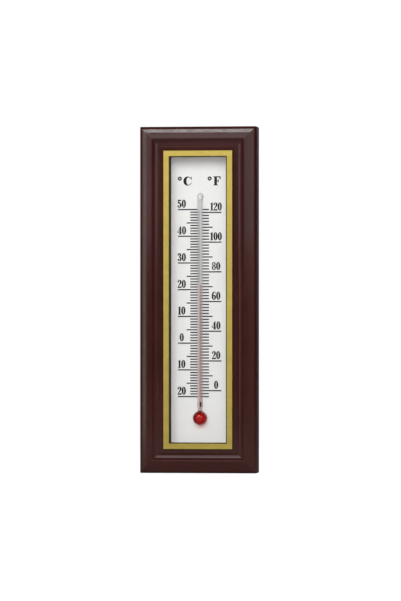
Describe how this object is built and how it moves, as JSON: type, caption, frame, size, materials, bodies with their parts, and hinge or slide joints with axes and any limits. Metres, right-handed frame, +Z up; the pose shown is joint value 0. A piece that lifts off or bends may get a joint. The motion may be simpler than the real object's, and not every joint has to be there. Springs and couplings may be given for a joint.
{
  "type": "wall thermometer",
  "caption": "Wall thermometer with a moulded dark brown frame, a gold trim and a white Celsius and Fahrenheit scale behind a glass tube in which red spirit rises and falls.",
  "frame": {"origin": "the middle of the back, on the wall's plane", "axes": "+X to the reader's right, +Y into the wall, +Z up along the scale. The front faces -Y"},
  "size_m": [0.068, 0.0129, 0.2],
  "materials": {
    "frame": "dark red-brown moulded plastic with a low gloss",
    "gold_trim": "satin gold with a fine grain",
    "plate": "satin white",
    "ink": "black print",
    "tube": "clear drawn glass",
    "spirit": "clear red spirit",
    "sleeve": "light grey soft rubber",
    "foam": "grey closed-cell foam",
    "cover": "dark brown moulded plastic, matte",
    "screws": "bright zinc on steel"
  },
  "bodies": {
    "housing": {"frame": "frame", "gold_trim": "gold_trim", "scale_plate": "plate", "celsius_lines": "ink", "fahrenheit_lines": "ink", "glass_tube": "tube", "bulb_spirit": "spirit", "spirit_thread": "spirit", "tail_sleeve": "sleeve", "foam_backing": "foam", "back_cover": "cover", "cover_screws": "screws"},
    "spirit_level": {"thread_tip": "spirit"}
  },
  "joints": [
    {"name": "spirit_rise", "type": "slide", "parent": "housing", "child": "spirit_level", "axis": [0, 0, 1], "range_m": [-0.06489, 0.04326], "deforming": ["spirit_thread"]}
  ]
}
